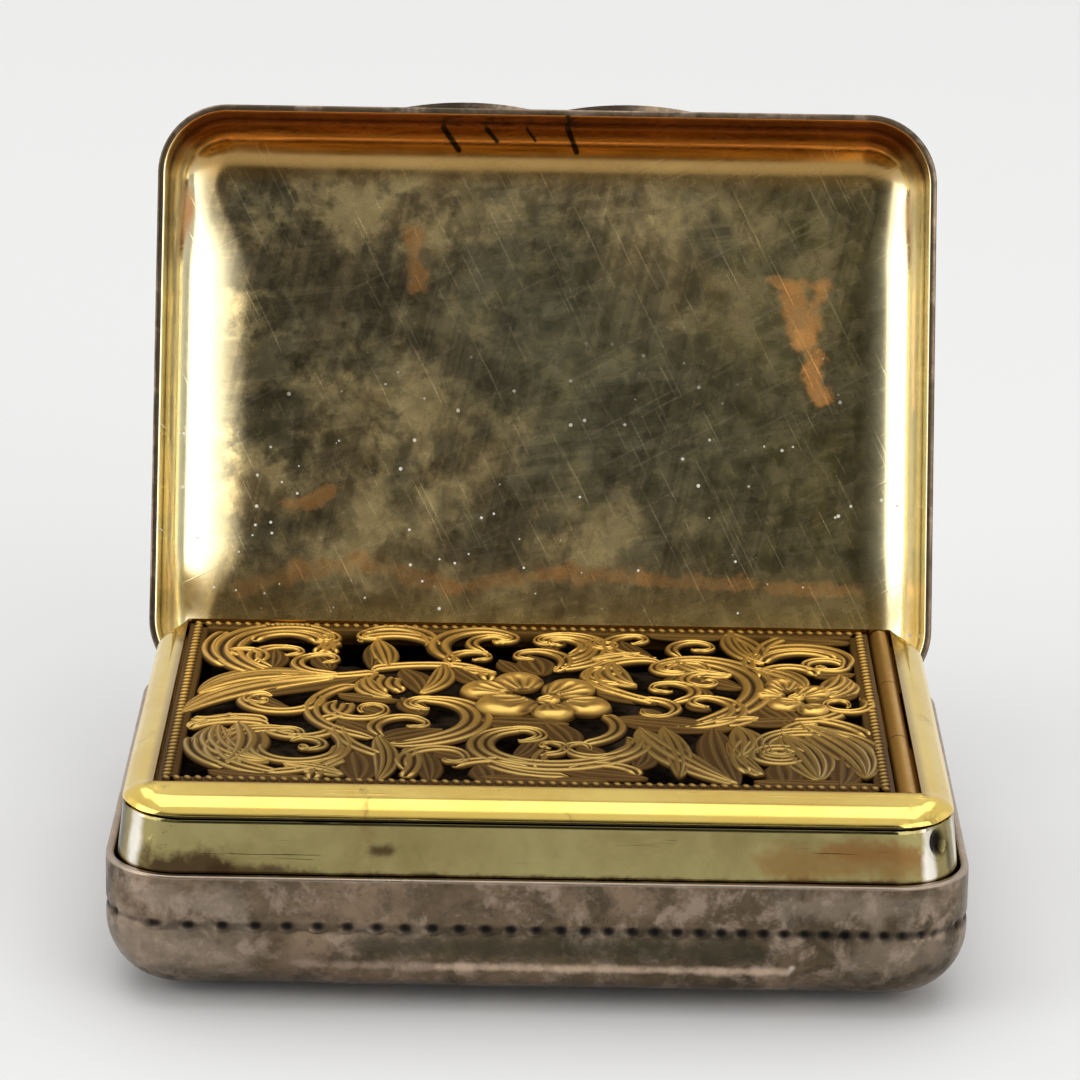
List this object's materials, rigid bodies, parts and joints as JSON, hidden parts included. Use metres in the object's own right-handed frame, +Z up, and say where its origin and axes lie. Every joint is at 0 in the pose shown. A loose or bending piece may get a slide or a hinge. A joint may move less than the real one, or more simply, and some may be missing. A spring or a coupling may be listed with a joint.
{
  "type": "vinaigrette",
  "caption": "Small hinged silver box, gilt inside, whose pierced scroll grille hinges over a well with a scented sponge; the lid closes over a raised collar.",
  "frame": {"origin": "middle of the flat panel it stands on", "axes": "+Z up, +X to the right seen from the front, +Y towards the lid hinge; the lid is open at rest"},
  "size_m": [0.036, 0.0395, 0.0308],
  "materials": {
    "silver": "worn polished silver with tarnish",
    "gilt": "worn gilding",
    "sponge": "dry porous sponge"
  },
  "bodies": {
    "base": {"base_tray": "silver", "collar_band": "gilt", "frame_plate": "gilt", "grille_rest": "gilt", "frame_knuckle_front": "gilt", "frame_knuckle_back": "gilt", "sponge": "sponge", "base_hinge_bearer": "silver", "base_knuckle_left": "silver", "base_knuckle_centre": "silver", "base_knuckle_right": "silver", "lid_hinge_pin": "silver", "grille_hinge_pin": "gilt"},
    "lid": {"lid_shell": "silver", "lid_hinge_bearer": "silver", "lid_knuckle_left": "silver", "lid_knuckle_right": "silver", "thumbpiece": "silver"},
    "grille": {"grille_scrollwork": "gilt", "grille_border": "gilt", "grille_knuckle": "gilt"}
  },
  "joints": [
    {"name": "lid_hinge", "type": "hinge", "parent": "base", "child": "lid", "pos_m": [0, 0.0128, 0.0059], "axis": [1, 0, 0], "range_deg": [0, 109.7]},
    {"name": "grille_hinge", "type": "hinge", "parent": "base", "child": "grille", "pos_m": [0.01539, 0, 0.00863], "axis": [0, 1, 0], "range_deg": [0, 2.8]}
  ]
}
